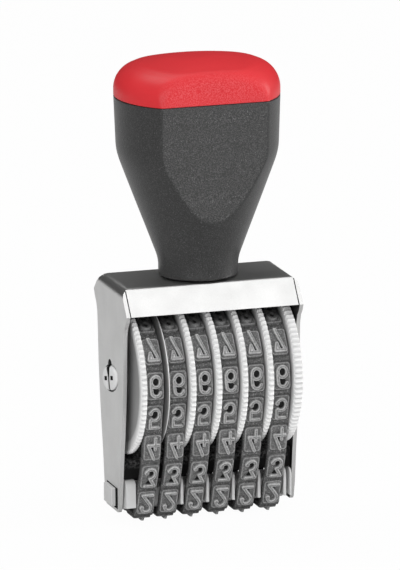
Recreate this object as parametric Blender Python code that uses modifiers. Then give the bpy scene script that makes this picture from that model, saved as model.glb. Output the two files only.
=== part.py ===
# Band numbering stamp: six endless rubber bands run over knurled wheels in a folded steel
# frame, and a hollow handle with a coloured cap is screwed on top. The origin is under the
# middle of the printing faces, +Z is up and the front faces -Y. Lengths are in metres.
import math

import bmesh
import bpy
from mathutils import Matrix, Vector

mm = 0.001

# Gaps between pieces, the depth to which joined shapes reach into each other, and the
# length by which a cutting shape passes the surface that it cuts
clearance = 0.3 * mm
sink = 0.2 * mm
overrun = 1.0 * mm
weld_distance = 0.0001 * mm
flat_angle = math.radians(0.05)

# Characters: raised, mirrored and read from below
glyph_height = 5.0 * mm
glyph_width = 2.8 * mm
glyph_relief = 0.7 * mm

# Rubber band: a toothed belt with a pad at each station
band_width = 3.8 * mm
band_thickness = 0.8 * mm
band_stations = 16
station_pitch = 6.6 * mm
pad_height = 0.45 * mm
pad_foot_length = 5.85 * mm
pad_top_length = 5.45 * mm
rib_height = 0.6 * mm
rib_foot_length = 1.3 * mm
rib_tip_length = 0.8 * mm
shoe_flat_length = 6.2 * mm
bar_corner_radius = 0.4 * mm
run_bow = 1.0 * mm
# How far the whole band has moved up the front from the middle of the shoe
band_advance = 0.9 * mm

# Number wheel: a toothed hub beside a knurled disc
wheel_teeth = 12
band_side_gap = 0.2 * mm
disc_thickness = 1.2 * mm
disc_radius = 15.46 * mm
knurl_count = 88
knurl_depth = 0.3 * mm
hub_clearance = 0.4 * mm
wheel_count = 6
separator_thickness = 0.6 * mm
separator_radius = 14.8 * mm

# Axle: a pin with a flange on one end and a split snap head on the other
axle_radius = 2.1 * mm
axle_flange_radius = 3.2 * mm
axle_flange_thickness = 0.5 * mm
snap_half_height = 2.5 * mm
snap_half_depth = 4.9 * mm
snap_projection = 0.9 * mm
snap_tilt = math.radians(-13)
split_length = 5.0 * mm
split_top_width = 2.6 * mm
split_bottom_width = 0.8 * mm
snap_pocket_width = 1.6 * mm
snap_pocket_height = 0.8 * mm
snap_pocket_offset = 2.1 * mm
end_washer_radius = 5.0 * mm

# Steel frame: one folded sheet. Its top is set by the wheels and the handle screw's head,
# and the skirts start to lean in at skirt_drop below it, the rear one a little higher up.
sheet = 0.8 * mm
end_gap = 1.125 * mm
print_projection = 2.4 * mm
head_gap = 1.01 * mm
skirt_drop = 5.07 * mm
rear_skirt_drop = 3.9 * mm
skirt_half_depth = 11.4 * mm
top_half_depth = 7.4 * mm
bend_radius = 2.0 * mm
fold_radius = 1.0 * mm
seam_width = 0.2 * mm
keyhole_width = 2.6 * mm
keyhole_rise = 1.3 * mm

# Bridge comb: a bar through all the bands with a fin beside each band
fin_thickness = 0.6 * mm
fin_half_depth = 6.4 * mm
fin_foot = 1.2 * mm
fin_top = 6.8 * mm
fin_corner_radius = 1.3 * mm
bridge_foot_half_width = 1.5 * mm
lug_front = 2.2 * mm
lug_rear = 3.15 * mm
lug_foot = 0.9 * mm
lug_top = 4.6 * mm
lug_projection = 0.8 * mm
window_rear_gap = 0.4 * mm
window_front_gap = 1.8 * mm
end_fin_thickness = 0.4 * mm

# Guide bar: a dark bar inside the bands near their front runs, between the comb and the wheels
guide_front = 5.2 * mm
guide_depth = 4.2 * mm
guide_corner_radius = 1.2 * mm

# Handle: heights above the top plate, radii about the vertical axis
handle_radius = 16.65 * mm
neck_radius = 8.0 * mm
cap_joint_height = 36.73 * mm
cap_height = 7.55 * mm
cap_edge_radius = 5.2 * mm
cap_crown = 0.8 * mm
handle_wall = 2.0 * mm
neck_floor = 4.5 * mm
cap_wall = 2.2 * mm
spigot_radius = 10.0 * mm
spigot_length = 3.0 * mm
facet_half_depth = 12.5 * mm
facet_lean = math.radians(2.6)
facet_roll_radius = 7.2 * mm
facet_roll_rise = 1.1 * mm
facet_roll_angle = math.radians(75)
boss_radius = 4.2 * mm
boss_height = 18.0 * mm

# Handle screw and its washer, under the top plate
screw_radius = 2.0 * mm
screw_head_radius = 3.5 * mm
screw_head_thickness = 1.5 * mm
screw_length = 15.0 * mm
screw_slot_width = 0.9 * mm
screw_slot_depth = 0.7 * mm
washer_radius = 4.6 * mm
washer_thickness = 0.5 * mm

# Steps round a full turn
wheel_bore_steps = 16
turned_steps = 24
handle_steps = 36
corner_steps = 3

# Side plate: height as a share of the skirts', half depth as a share of skirt_half_depth
plate_shares = (
    (0.0, 0.345), (0.012, 0.38), (0.09, 0.455), (0.25, 0.53), (0.385, 0.62), (0.53, 0.70),
    (0.67, 0.755), (0.82, 0.78), (0.90, 0.803), (0.942, 0.86), (0.971, 0.95), (1.0, 1.0))

# Handle side: height as a share of cap_joint_height, and how far the radius has grown from
# neck_radius to handle_radius
handle_side_shares = (
    (1.0, 1.0), (0.72, 0.957), (0.68, 0.93), (0.64, 0.878), (0.415, 0.522), (0.265, 0.28),
    (0.145, 0.09), (0.07, 0.0), (0.0, 0.0))

# Characters as closed outlines: shares of glyph_width and glyph_height from the lower left
six_bowl_shares = ((.30, .12), (.70, .12), (.79, .19), (.79, .42), (.70, .49), (.30, .49), (.21, .42), (.21, .19))
six_shares = ((.25, 0), (.75, 0), (1, .14), (1, .46), (.75, .61), (.21, .61), (.21, .8), (.32, .88), (.7, .88),
              (.8, .8), (1, .8), (1, .86), (.75, 1), (.25, 1), (0, .86), (0, .14))
glyph_shares = {
    "0": (((.25, 0), (.75, 0), (1, .14), (1, .86), (.75, 1), (.25, 1), (0, .86), (0, .14)),
          ((.32, .12), (.68, .12), (.79, .19), (.79, .81), (.68, .88), (.32, .88), (.21, .81), (.21, .19))),
    "1": (((.42, 0), (.63, 0), (.63, 1), (.47, 1), (.2, .86), (.2, .73), (.42, .84)),),
    "2": (((0, 0), (1, 0), (1, .12), (.3, .12), (1, .58), (1, .86), (.75, 1), (.25, 1), (0, .86), (0, .72),
           (.21, .72), (.32, .88), (.68, .88), (.79, .8), (.79, .63), (0, .15)),),
    "3": (((0, .14), (.25, 0), (.75, 0), (1, .14), (1, .48), (.78, .62), (.6, .62), (1, .9), (1, 1), (0, 1),
           (0, .88), (.7, .88), (.32, .63), (.32, .51), (.68, .51), (.79, .44), (.79, .19), (.68, .12), (.32, .12),
           (.21, .25), (0, .25)),),
    "4": (((.58, 0), (.79, 0), (.79, .19), (1, .19), (1, .31), (.79, .31), (.79, .56), (.58, .56), (.58, .32),
           (.24, .32), (.62, 1), (.4, 1), (0, .3), (0, .2), (.58, .2)),),
    "5": (((0, .14), (.25, 0), (.75, 0), (1, .14), (1, .48), (.75, .62), (.21, .62), (.21, .88), (.94, .88),
           (.94, 1), (0, 1), (0, .5), (.68, .5), (.79, .43), (.79, .19), (.68, .12), (.32, .12), (.21, .25), (0, .25)),),
    "6": (six_shares, six_bowl_shares),
    "7": (((.2, 0), (.43, 0), (1, .88), (1, 1), (0, 1), (0, .88), (.76, .88)),),
    "8": (((.25, 0), (.75, 0), (1, .14), (1, .44), (.86, .54), (.96, .63), (.96, .88), (.73, 1), (.27, 1),
           (.04, .88), (.04, .63), (.14, .54), (0, .44), (0, .14)),
          ((.32, .12), (.68, .12), (.79, .19), (.79, .4), (.68, .47), (.32, .47), (.21, .4), (.21, .19)),
          ((.34, .59), (.66, .59), (.75, .64), (.75, .83), (.66, .88), (.34, .88), (.25, .83), (.25, .64))),
    "9": (tuple((1 - x, 1 - y) for x, y in six_shares), tuple((1 - x, 1 - y) for x, y in six_bowl_shares)),
    "-": (((.15, .44), (.85, .44), (.85, .56), (.15, .56)),),
    "/": (((0, 0), (.24, 0), (1, 1), (.76, 1)),),
}
# Characters by station, from the printing face up the front and over the top
station_glyphs = "1234567890-/"
# Points of a blank pad's face, as shares of its length from its middle
blank_pad_shares = (-1 / 2, -1 / 4, 0.0, 1 / 4, 1 / 2)

# Sizes worked out from the ones above
channel = band_width + 2 * band_side_gap
wheel_pitch = channel + disc_thickness
stack_width = wheel_count * wheel_pitch + separator_thickness
inner_width = stack_width + 2 * end_gap
frame_width = inner_width + 2 * sheet
half_band = band_thickness / 2
shoe_level = half_band + pad_height + glyph_relief
shoe_corner_radius = half_band + rib_height + clearance + bar_corner_radius
belt_radius = wheel_teeth * station_pitch / (2 * math.pi)
loop_length = band_stations * station_pitch
bore_radius = axle_radius + clearance
screw_bore_radius = screw_radius + clearance

to_x = Matrix(((0, 0, 1), (1, 0, 0), (0, 1, 0))).to_4x4()
to_y = Matrix(((1, 0, 0), (0, 0, -1), (0, 1, 0))).to_4x4()


def clear_scene():
    for old in list(bpy.data.objects):
        bpy.data.objects.remove(old)


def material(name, colour, roughness, metallic=0.0):
    made = bpy.data.materials.new(name)
    made.use_nodes = True
    shader = made.node_tree.nodes["Principled BSDF"]
    shader.inputs["Base Color"].default_value = (*colour, 1)
    shader.inputs["Roughness"].default_value = roughness
    shader.inputs["Metallic"].default_value = metallic
    return made


def tidy(mesh):
    # Welds the seams of a new solid, merges its flat faces and points them out
    shape = bmesh.new()
    shape.from_mesh(mesh)
    bmesh.ops.remove_doubles(shape, verts=shape.verts, dist=weld_distance)
    bmesh.ops.dissolve_limit(shape, angle_limit=flat_angle, verts=shape.verts, edges=shape.edges)
    bmesh.ops.recalc_face_normals(shape, faces=shape.faces)
    shape.to_mesh(mesh)
    shape.free()
    return mesh


def evaluated_mesh(source):
    # The object's shape with its modifiers, as a mesh of its own; the object is removed
    graph = bpy.context.evaluated_depsgraph_get()
    made = bpy.data.meshes.new_from_object(source.evaluated_get(graph), depsgraph=graph)
    bpy.data.objects.remove(source)
    return made


def scratch_object(data):
    made = bpy.data.objects.new("scratch", data)
    bpy.context.scene.collection.objects.link(made)
    return made


def outline(loops, low, high, turn=to_x):
    # A flat outline, with holes if it has several loops, extruded from low to high
    curve = bpy.data.curves.new("outline", "CURVE")
    curve.dimensions = "2D"
    curve.fill_mode = "BOTH"
    curve.extrude = (high - low) / 2
    for loop in loops:
        spline = curve.splines.new("POLY")
        spline.points.add(len(loop) - 1)
        for point, (across, up) in zip(spline.points, loop):
            point.co = (across, up, 0, 1)
        spline.use_cyclic_u = True
    mesh = evaluated_mesh(scratch_object(curve))
    mesh.transform(turn @ Matrix.Translation((0, 0, (low + high) / 2)))
    return tidy(mesh)


def turned(profile, steps, turn=None, ring=False):
    # A profile of (radius, height) points, listed down its outer side, turned about Z
    mesh = bpy.data.meshes.new("profile")
    edges = [(i, i + 1) for i in range(len(profile) - 1)]
    if ring:
        edges.append((len(profile) - 1, 0))
    mesh.from_pydata([(radius, 0, height) for radius, height in profile], edges, [])
    source = scratch_object(mesh)
    screw = source.modifiers.new("Screw", "SCREW")
    screw.steps = steps
    screw.render_steps = steps
    screw.use_merge_vertices = True
    screw.merge_threshold = weld_distance
    mesh = evaluated_mesh(source)
    if turn is not None:
        mesh.transform(turn)
    return tidy(mesh)


def cylinder(radius, low, high, steps, turn=None):
    return turned([(0, high), (radius, high), (radius, low), (0, low)], steps, turn)


def combined(first, second, operation):
    # UNION, DIFFERENCE or INTERSECT of two closed meshes
    body = scratch_object(first)
    other = scratch_object(second)
    step = body.modifiers.new("Boolean", "BOOLEAN")
    step.object = other
    step.operation = operation
    step.solver = "EXACT"
    made = evaluated_mesh(body)
    bpy.data.objects.remove(other)
    return tidy(made)


def joined(meshes):
    # Separate bodies kept in one mesh, as a tool for one Boolean step
    shape = bmesh.new()
    for mesh in meshes:
        shape.from_mesh(mesh)
    made = bpy.data.meshes.new("tool")
    shape.to_mesh(made)
    shape.free()
    return made


def add_part(name, mesh, finish, location=(0, 0, 0), smooth=True):
    mesh.name = name
    if not mesh.materials:
        mesh.materials.append(finish)
    if smooth:
        mesh.shade_smooth()
        mesh.set_sharp_from_angle(angle=math.radians(35))
    made = bpy.data.objects.new(name, mesh)
    made.location = location
    stamp.objects.link(made)
    return made


def rounded(before, corner, after, radius):
    # Points of an arc that replaces a corner of an outline
    corner = Vector(corner)
    back = (Vector(before) - corner).normalized()
    ahead = (Vector(after) - corner).normalized()
    half_angle = back.angle(ahead) / 2
    centre = corner + (back + ahead).normalized() * (radius / math.sin(half_angle))
    start = corner + back * (radius / math.tan(half_angle)) - centre
    end = corner + ahead * (radius / math.tan(half_angle)) - centre
    sweep = start.angle(end)
    points = []
    for step in range(corner_steps + 1):
        turn = sweep * step / corner_steps
        arc = (start * math.sin(sweep - turn) + end * math.sin(turn)) / math.sin(sweep)
        points.append(tuple(centre + arc))
    return points


def mirrored(half):
    # A closed outline from its right half, listed from the foot to the top
    return half + [(-across, up) for across, up in reversed(half)]


def box(x_low, x_high, y_low, y_high, z_low, z_high):
    return outline([[(y_low, z_low), (y_high, z_low), (y_high, z_high), (y_low, z_high)]], x_low, x_high)


def run_geometry(axle_level):
    # Straight run of the belt between the shoe corner and the wheel: its slope and length
    rise = axle_level - shoe_level - shoe_corner_radius
    span = math.hypot(shoe_flat_length / 2, rise)
    step = belt_radius - shoe_corner_radius
    slope = math.atan2(rise, -shoe_flat_length / 2) - math.asin(step / span)
    return slope, math.sqrt(span ** 2 - step ** 2)


def run_length(straight):
    # Length of a run with a bow of run_bow * sin(pi * t) ** 2
    return straight + (math.pi * run_bow) ** 2 / (4 * straight)


def half_loop(axle_level):
    slope, straight = run_geometry(axle_level)
    flat = shoe_flat_length / 2
    return flat + shoe_corner_radius * slope + run_length(straight) + belt_radius * (math.pi - slope)


def solve_axle_level():
    # The axle sits where the belt's whole number of stations fills the loop
    low = shoe_level + belt_radius + shoe_corner_radius
    high = low + loop_length
    for _ in range(60):
        middle = (low + high) / 2
        if half_loop(middle) < loop_length / 2:
            low = middle
        else:
            high = middle
    return (low + high) / 2


axle_level = solve_axle_level()
run_slope, run_straight = run_geometry(axle_level)
at_axle = Matrix.Translation((0, 0, axle_level))
# Turns Z to X and puts a turned shape on the axle
on_axle = at_axle @ Matrix.Rotation(math.pi / 2, 4, "Y")
tilt_at_axle = at_axle @ Matrix.Rotation(snap_tilt, 4, "X") @ at_axle.inverted()
underside = axle_level + disc_radius + head_gap + screw_head_thickness + washer_thickness + 2 * clearance
top_level = underside + sheet
handle_level = top_level + clearance


def belt_frame(distance):
    # Point, direction and outward normal of the belt's middle line in the YZ plane, at a
    # distance from the middle of the printing face, first up the front
    distance %= loop_length
    rear = distance > loop_length / 2
    if rear:
        distance = loop_length - distance
    flat = shoe_flat_length / 2
    corner_end = flat + shoe_corner_radius * run_slope
    run_end = corner_end + run_length(run_straight)
    if distance <= flat:
        angle = 0
        point = Vector((distance, shoe_level))
    elif distance <= corner_end:
        angle = (distance - flat) / shoe_corner_radius
        point = Vector((flat + shoe_corner_radius * math.sin(angle),
                        shoe_level + shoe_corner_radius * (1 - math.cos(angle))))
    elif distance <= run_end:
        share = (distance - corner_end) / (run_end - corner_end)
        along = Vector((math.cos(run_slope), math.sin(run_slope)))
        out = Vector((math.sin(run_slope), -math.cos(run_slope)))
        start = Vector((flat + shoe_corner_radius * math.sin(run_slope),
                        shoe_level + shoe_corner_radius * (1 - math.cos(run_slope))))
        point = start + along * run_straight * share + out * run_bow * math.sin(math.pi * share) ** 2
        bend = run_bow * math.pi * math.sin(2 * math.pi * share) / run_straight
        angle = run_slope - math.atan(bend)
    else:
        angle = run_slope + (distance - run_end) / belt_radius
        point = Vector((belt_radius * math.sin(angle), axle_level - belt_radius * math.cos(angle)))
    along = Vector((math.cos(angle), math.sin(angle)))
    out = Vector((math.sin(angle), -math.cos(angle)))
    # The front is at -Y; behind the top the same path runs back down
    side = 1 if rear else -1
    point.x *= side
    out.x *= side
    along.x *= side
    return point, -along if rear else along, out


def belt_point(distance, out_by, along_by=0):
    point, along, out = belt_frame(distance)
    return tuple(point + out * out_by + along * along_by)


def glyph_solid(glyph, distance):
    # A character on its pad: X runs across the band and the top points back to the start
    point, along, out = belt_frame(distance)
    loops = [[((x - 1 / 2) * glyph_width, (1 / 2 - y) * glyph_height) for x, y in loop]
             for loop in glyph_shares[glyph]]
    face = half_band + pad_height
    mesh = outline(loops, face - sink, face + glyph_relief, Matrix.Identity(4))
    mesh.transform(Matrix(((1, 0, 0, 0), (0, along.x, out.x, point.x), (0, along.y, out.y, point.y), (0, 0, 0, 1))))
    return mesh


def band_mesh():
    outer = []
    inner = []
    top = half_band + pad_height
    inner_point = (station_pitch - rib_foot_length) / 3
    for station in range(band_stations):
        middle = station * station_pitch + band_advance
        outer.append(belt_point(middle - pad_foot_length / 2, half_band))
        if station < len(station_glyphs):
            outer.append(belt_point(middle, top, -pad_top_length / 2))
            outer.append(belt_point(middle, top, pad_top_length / 2))
        else:
            # A blank pad has no flat face to keep and bends with the belt
            outer += [belt_point(middle + share * pad_top_length, top) for share in blank_pad_shares]
        outer.append(belt_point(middle + pad_foot_length / 2, half_band))
        inner.append(belt_point(middle - inner_point, -half_band))
        inner.append(belt_point(middle + inner_point, -half_band))
        rib = middle + station_pitch / 2
        inner.append(belt_point(rib - rib_foot_length / 2, -half_band))
        inner.append(belt_point(rib, -half_band - rib_height, -rib_tip_length / 2))
        inner.append(belt_point(rib, -half_band - rib_height, rib_tip_length / 2))
        inner.append(belt_point(rib + rib_foot_length / 2, -half_band))
    belt = outline([outer, inner], -band_width / 2, band_width / 2)
    glyphs = [glyph_solid(glyph, index * station_pitch + band_advance)
              for index, glyph in enumerate(station_glyphs)]
    return combined(belt, joined(glyphs), "UNION")


def polar(radius, angle):
    return radius * math.cos(angle), radius * math.sin(angle)


def wheel_mesh():
    # Local origin on the axis in the middle of the band's channel, disc towards +X
    knurls = [polar(disc_radius - knurl_depth * (step % 2), math.pi * step / knurl_count)
              for step in range(2 * knurl_count)]
    disc = outline([knurls], channel / 2, channel / 2 + disc_thickness)
    hub_radius = belt_radius - half_band - hub_clearance
    notch_radius = belt_radius - half_band - rib_height - clearance
    mouth = (rib_foot_length / 2 + clearance) / hub_radius
    root = (rib_tip_length / 2 + clearance) / notch_radius
    teeth = []
    for tooth in range(wheel_teeth):
        middle = 2 * math.pi * (tooth + 1 / 2) / wheel_teeth
        teeth.append(polar(hub_radius, middle - mouth))
        teeth.append(polar(notch_radius, middle - root))
        teeth.append(polar(notch_radius, middle + root))
        teeth.append(polar(hub_radius, middle + mouth))
    hub = outline([teeth], clearance - channel / 2, channel / 2 + sink)
    bore = cylinder(bore_radius, -channel, channel, wheel_bore_steps, Matrix.Rotation(math.pi / 2, 4, "Y"))
    return combined(combined(disc, hub, "UNION"), bore, "DIFFERENCE")


def band_places():
    # Middle of each band along X; the separator stands between the first two
    first = -stack_width / 2 + disc_thickness + channel / 2
    places = [first, first + channel + separator_thickness]
    for _ in range(wheel_count - 2):
        places.append(places[-1] + wheel_pitch)
    return places


def ring(outer_radius, inner_radius, thickness, steps, turn):
    half = thickness / 2
    profile = [(inner_radius, half), (outer_radius, half), (outer_radius, -half), (inner_radius, -half)]
    return turned(profile, steps, turn, ring=True)


def build_wheels():
    wheel = wheel_mesh()
    belt = band_mesh()
    advance = band_advance / belt_radius
    for number, place in enumerate(band_places(), start=1):
        made = add_part(f"number_wheel_{number}", wheel, white_plastic, (place, 0, axle_level))
        made.rotation_euler.x = -advance
        if number == 1:
            # The first wheel is turned round, with its disc towards the side plate
            made.rotation_euler = (advance, 0, math.pi)
        add_part(f"number_band_{number}", belt, band_rubber, (place, 0, 0), smooth=False)
    half = separator_thickness / 2
    rim = separator_radius - half
    profile = [(bore_radius, half), (rim, half), (separator_radius, 0), (rim, -half), (bore_radius, -half)]
    disc = turned(profile, handle_steps, on_axle, ring=True)
    disc.transform(Matrix.Translation((sum(band_places()[:2]) / 2, 0, 0)))
    add_part("separator_disc", disc, separator_plastic)
    for name, side in (("left", -1), ("right", 1)):
        washer = ring(end_washer_radius, bore_radius, end_gap - 2 * clearance, turned_steps, on_axle)
        washer.transform(Matrix.Translation((side * (inner_width - end_gap) / 2, 0, 0)))
        add_part(f"end_washer_{name}", washer, washer_nylon)


def snap_shape(grow, x_low, x_high):
    # The snap head is round, stretched to the front and rear and tilted
    radius = snap_half_height + grow
    stretch = Matrix.Diagonal((1, (snap_half_depth + grow) / radius, 1, 1))
    return cylinder(radius, x_low, x_high, handle_steps, tilt_at_axle @ stretch @ on_axle)


def build_axle():
    flange_inner = frame_width / 2 + clearance
    shoulder = -inner_width / 2
    tip = -frame_width / 2 - snap_projection
    profile = [(0, flange_inner + axle_flange_thickness), (axle_flange_radius, flange_inner + axle_flange_thickness),
               (axle_flange_radius, flange_inner), (axle_radius, flange_inner), (axle_radius, shoulder - sink),
               (0, shoulder - sink)]
    pin = combined(turned(profile, turned_steps, on_axle), snap_shape(0, tip, shoulder), "UNION")
    reach = snap_half_height + overrun
    foot = split_bottom_width / 2
    split = outline([[(-foot, axle_level - reach), (foot, axle_level - reach), (foot, axle_level),
                      (split_top_width / 2, axle_level + reach), (-split_top_width / 2, axle_level + reach),
                      (-foot, axle_level)]], tip - overrun, tip + split_length)
    tools = [split]
    half = snap_pocket_height / 2
    for side in (-1, 1):
        middle = side * snap_pocket_offset
        tools.append(box(tip - overrun, shoulder - sink, middle - snap_pocket_width / 2,
                         middle + snap_pocket_width / 2, axle_level - half, axle_level + half))
    for tool in tools:
        tool.transform(tilt_at_axle)
        pin = combined(pin, tool, "DIFFERENCE")
    add_part("axle", pin, white_plastic)


def bend_outline(half_width, foot, top, radius):
    # Front view of the folded sheet: a door shape with rounded upper corners
    arc = rounded((half_width, foot), (half_width, top), (0, top), radius)
    return mirrored([(half_width, foot)] + arc)


def side_profile(side, drop):
    # Outer edge of the folded sheet seen from the side, from its foot up to the middle of the top
    foot = print_projection
    skirt_height = top_level - drop - foot
    points = [(side * depth * skirt_half_depth, foot + height * skirt_height) for height, depth in plate_shares]
    return points + rounded(points[-1], (side * top_half_depth, top_level), (0, top_level), fold_radius)


def room_profile(side, drop):
    # Inside of one skirt, seen from the side: its outer slope moved in by the sheet
    shoulder = top_level - drop
    slope = (skirt_half_depth - top_half_depth) / drop
    across = sheet * math.hypot(1, slope)
    wide = skirt_half_depth + 2 * overrun
    points = [(wide, print_projection - 2 * overrun), (wide, shoulder), (skirt_half_depth - across, shoulder),
              (top_half_depth + sheet * slope - across, underside)]
    return [(side * depth, level) for depth, level in points]


def build_frame():
    foot = print_projection
    half_outer = frame_width / 2 + overrun
    wide = skirt_half_depth + 2 * overrun
    # The front is at -Y, so the loop runs up the rear and down the front
    shell = side_profile(1, rear_skirt_drop) + side_profile(-1, skirt_drop)[::-1]
    body = combined(outline([shell], -half_outer, half_outer),
                    outline([bend_outline(frame_width / 2, foot - overrun, top_level, bend_radius)],
                            -wide, wide, to_y), "INTERSECT")
    room = room_profile(1, rear_skirt_drop) + room_profile(-1, skirt_drop)[::-1]
    below = foot - 3 * overrun
    inside = combined(outline([room], -half_outer, half_outer),
                      outline([bend_outline(inner_width / 2, below, underside, bend_radius - sheet)],
                              -wide - overrun, wide + overrun, to_y), "INTERSECT")
    body = combined(body, inside, "DIFFERENCE")
    far = frame_width / 2 + overrun
    tools = [box(-far, far, -lug_front - window_front_gap, lug_rear + window_rear_gap,
                 foot + lug_foot - clearance, foot + lug_top + clearance),
             cylinder(bore_radius, 0, far, turned_steps, on_axle), snap_shape(clearance, -far, 0)]
    # The hole for the snap head runs up into a round-ended slot
    slot_top = axle_level + snap_half_height + keyhole_rise - keyhole_width / 2
    round_end = cylinder(keyhole_width / 2, -far, 0, turned_steps, on_axle)
    round_end.transform(Matrix.Translation((0, 0, slot_top - axle_level)))
    slot = box(-far, 0, -keyhole_width / 2, keyhole_width / 2, axle_level, slot_top)
    for tool in (round_end, slot):
        tool.transform(tilt_at_axle)
        tools.append(tool)
    tools.append(cylinder(screw_bore_radius, underside - overrun, top_level + overrun, turned_steps))
    for side in (-1, 1):
        edge = side * inner_width / 2
        near, away = sorted((edge, edge - side * seam_width))
        for front, drop in ((-1, skirt_drop), (1, rear_skirt_drop)):
            depth = sorted((front * (top_half_depth - sheet), front * wide))
            tools.append(box(near, away, *depth, top_level - drop - overrun, top_level - sheet / 2))
    for tool in tools:
        body = combined(body, tool, "DIFFERENCE")
    add_part("steel_frame", body, plated_steel)


def fin(x_low, x_high):
    low = print_projection + fin_foot
    high = print_projection + fin_top
    arc = rounded((fin_half_depth, low), (fin_half_depth, high), (0, high), fin_corner_radius)
    return outline([mirrored([(fin_half_depth, low)] + arc)], x_low, x_high)


def build_bridge():
    # The bar keeps inside the ribs of the belt where it turns round the shoe
    reach = half_band + rib_height + clearance
    half_width = shoe_flat_length / 2 + bar_corner_radius
    bar_foot = shoe_level + reach
    bar_top = print_projection + lug_top - sink
    arc = rounded((0, bar_foot), (half_width, bar_foot), (half_width, bar_top), bar_corner_radius)
    end = inner_width / 2 - clearance
    bar = outline([mirrored(arc + [(half_width, bar_top)])], sink - end, end - sink)
    foot = box(2 * sink - end, end - 2 * sink, -bridge_foot_half_width, bridge_foot_half_width,
               shoe_level + half_band + clearance, bar_foot + sink)
    places = band_places()
    parts = [foot, fin(-end, places[0] - channel / 2), fin(end - end_fin_thickness, end)]
    for place in places[1:]:
        centre = place + wheel_pitch / 2
        parts.append(fin(centre - fin_thickness / 2, centre + fin_thickness / 2))
    for side in (-1, 1):
        near, far = sorted((side * (end - end_fin_thickness / 2), side * (frame_width / 2 + lug_projection)))
        parts.append(box(near, far, -lug_front, lug_rear,
                         print_projection + lug_foot, print_projection + lug_top))
    for part in parts:
        bar = combined(bar, part, "UNION")
    add_part("bridge_comb", bar, bridge_plastic, smooth=False)


def build_guide():
    # Keeps the front runs of the bands from folding in above the comb
    low = print_projection + fin_top + clearance
    high = axle_level - disc_radius - clearance
    middle = (low + high) / 2
    reach = guide_depth / 2
    half = rounded((0, low), (reach, low), (reach, middle), guide_corner_radius)
    half += rounded((reach, middle), (reach, high), (0, high), guide_corner_radius)
    end = inner_width / 2 - clearance
    bar = outline([mirrored(half)], -end, end)
    # A ridge under each hub stands between the wheels' discs
    ridge_top = axle_level - belt_radius + half_band + hub_clearance - clearance
    ridge_half = channel / 2 - clearance
    for place in band_places():
        ridge = box(place - ridge_half, place + ridge_half, guide_corner_radius - reach, reach - guide_corner_radius,
                    middle, ridge_top)
        bar = combined(bar, ridge, "UNION")
    bar.transform(Matrix.Translation((0, reach - guide_front, 0)))
    add_part("guide_bar", bar, black_plastic, smooth=False)


def facet_outline(inset, foot, top):
    # Side view of the flat front and rear of the handle, which roll in over the cap
    joint = handle_level + cap_joint_height
    lean = math.tan(facet_lean)
    half = [(facet_half_depth - inset - (joint - foot) * lean, foot)]
    if top <= joint + facet_roll_rise:
        return mirrored(half + [(facet_half_depth - inset + (top - joint) * lean, top)])
    steps = 4 * corner_steps
    for step in range(steps + 1):
        angle = facet_roll_angle * step / steps
        half.append((facet_half_depth - facet_roll_radius * (1 - math.cos(angle)),
                     joint + facet_roll_rise + facet_roll_radius * math.sin(angle)))
    return mirrored(half)


def facet_slab(inset, foot, top):
    far = handle_radius + overrun
    return outline([facet_outline(inset, foot, top)], -far, far)


def side_radius(height_share):
    # Radius of the handle's side between the points of its table
    table = list(reversed(handle_side_shares))
    for (low, low_growth), (high, high_growth) in zip(table, table[1:]):
        if height_share <= high:
            break
    share = (height_share - low) / (high - low)
    growth = low_growth + share * (high_growth - low_growth)
    return neck_radius + growth * (handle_radius - neck_radius)


def build_handle():
    joint = handle_level + cap_joint_height
    body_top = joint - clearance / 2
    sides = [(side_radius(height), handle_level + height * cap_joint_height)
             for height, _ in handle_side_shares[1:]]
    profile = [(0, body_top), (side_radius(1), body_top)] + sides + [(0, handle_level)]
    body = combined(turned(profile, handle_steps),
                    facet_slab(0, handle_level - overrun, body_top + overrun), "INTERSECT")
    floor = handle_level + neck_floor
    open_top = body_top + overrun
    hollow = [(0, open_top), (side_radius(1) - handle_wall, open_top)]
    hollow += [(radius - handle_wall, level) for radius, level in sides if level > floor + handle_wall]
    hollow += [(side_radius(neck_floor / cap_joint_height) - handle_wall, floor), (boss_radius, floor),
               (boss_radius, handle_level + boss_height), (0, handle_level + boss_height)]
    room = combined(turned(hollow, handle_steps),
                    facet_slab(handle_wall, floor - overrun, open_top + overrun), "INTERSECT")
    body = combined(body, room, "DIFFERENCE")
    bore = cylinder(screw_bore_radius, handle_level - overrun, handle_level + boss_height + overrun, turned_steps)
    add_part("handle_body", combined(body, bore, "DIFFERENCE"), black_plastic)

    foot = joint + clearance / 2
    top = joint + cap_height
    edge_level = top - cap_crown - cap_edge_radius
    flat_radius = handle_radius - cap_edge_radius
    dome = [(0, top)]
    for step in range(1, corner_steps):
        share = step / corner_steps
        dome.append((flat_radius * share, top - cap_crown * share ** 2))
    steps = 2 * corner_steps
    for step in range(steps + 1):
        angle = math.pi / 2 * (1 - step / steps)
        across, up = polar(cap_edge_radius, angle)
        dome.append((flat_radius + across, edge_level + up))
    ceiling = top - cap_crown - cap_wall
    inner = spigot_radius - cap_wall
    dome += [(handle_radius, foot), (spigot_radius, foot), (spigot_radius, foot - spigot_length),
             (inner, foot - spigot_length), (inner, ceiling), (0, ceiling)]
    cap = combined(turned(dome, handle_steps), facet_slab(0, foot - spigot_length - overrun, top), "INTERSECT")
    add_part("handle_cap", cap, red_plastic)


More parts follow.
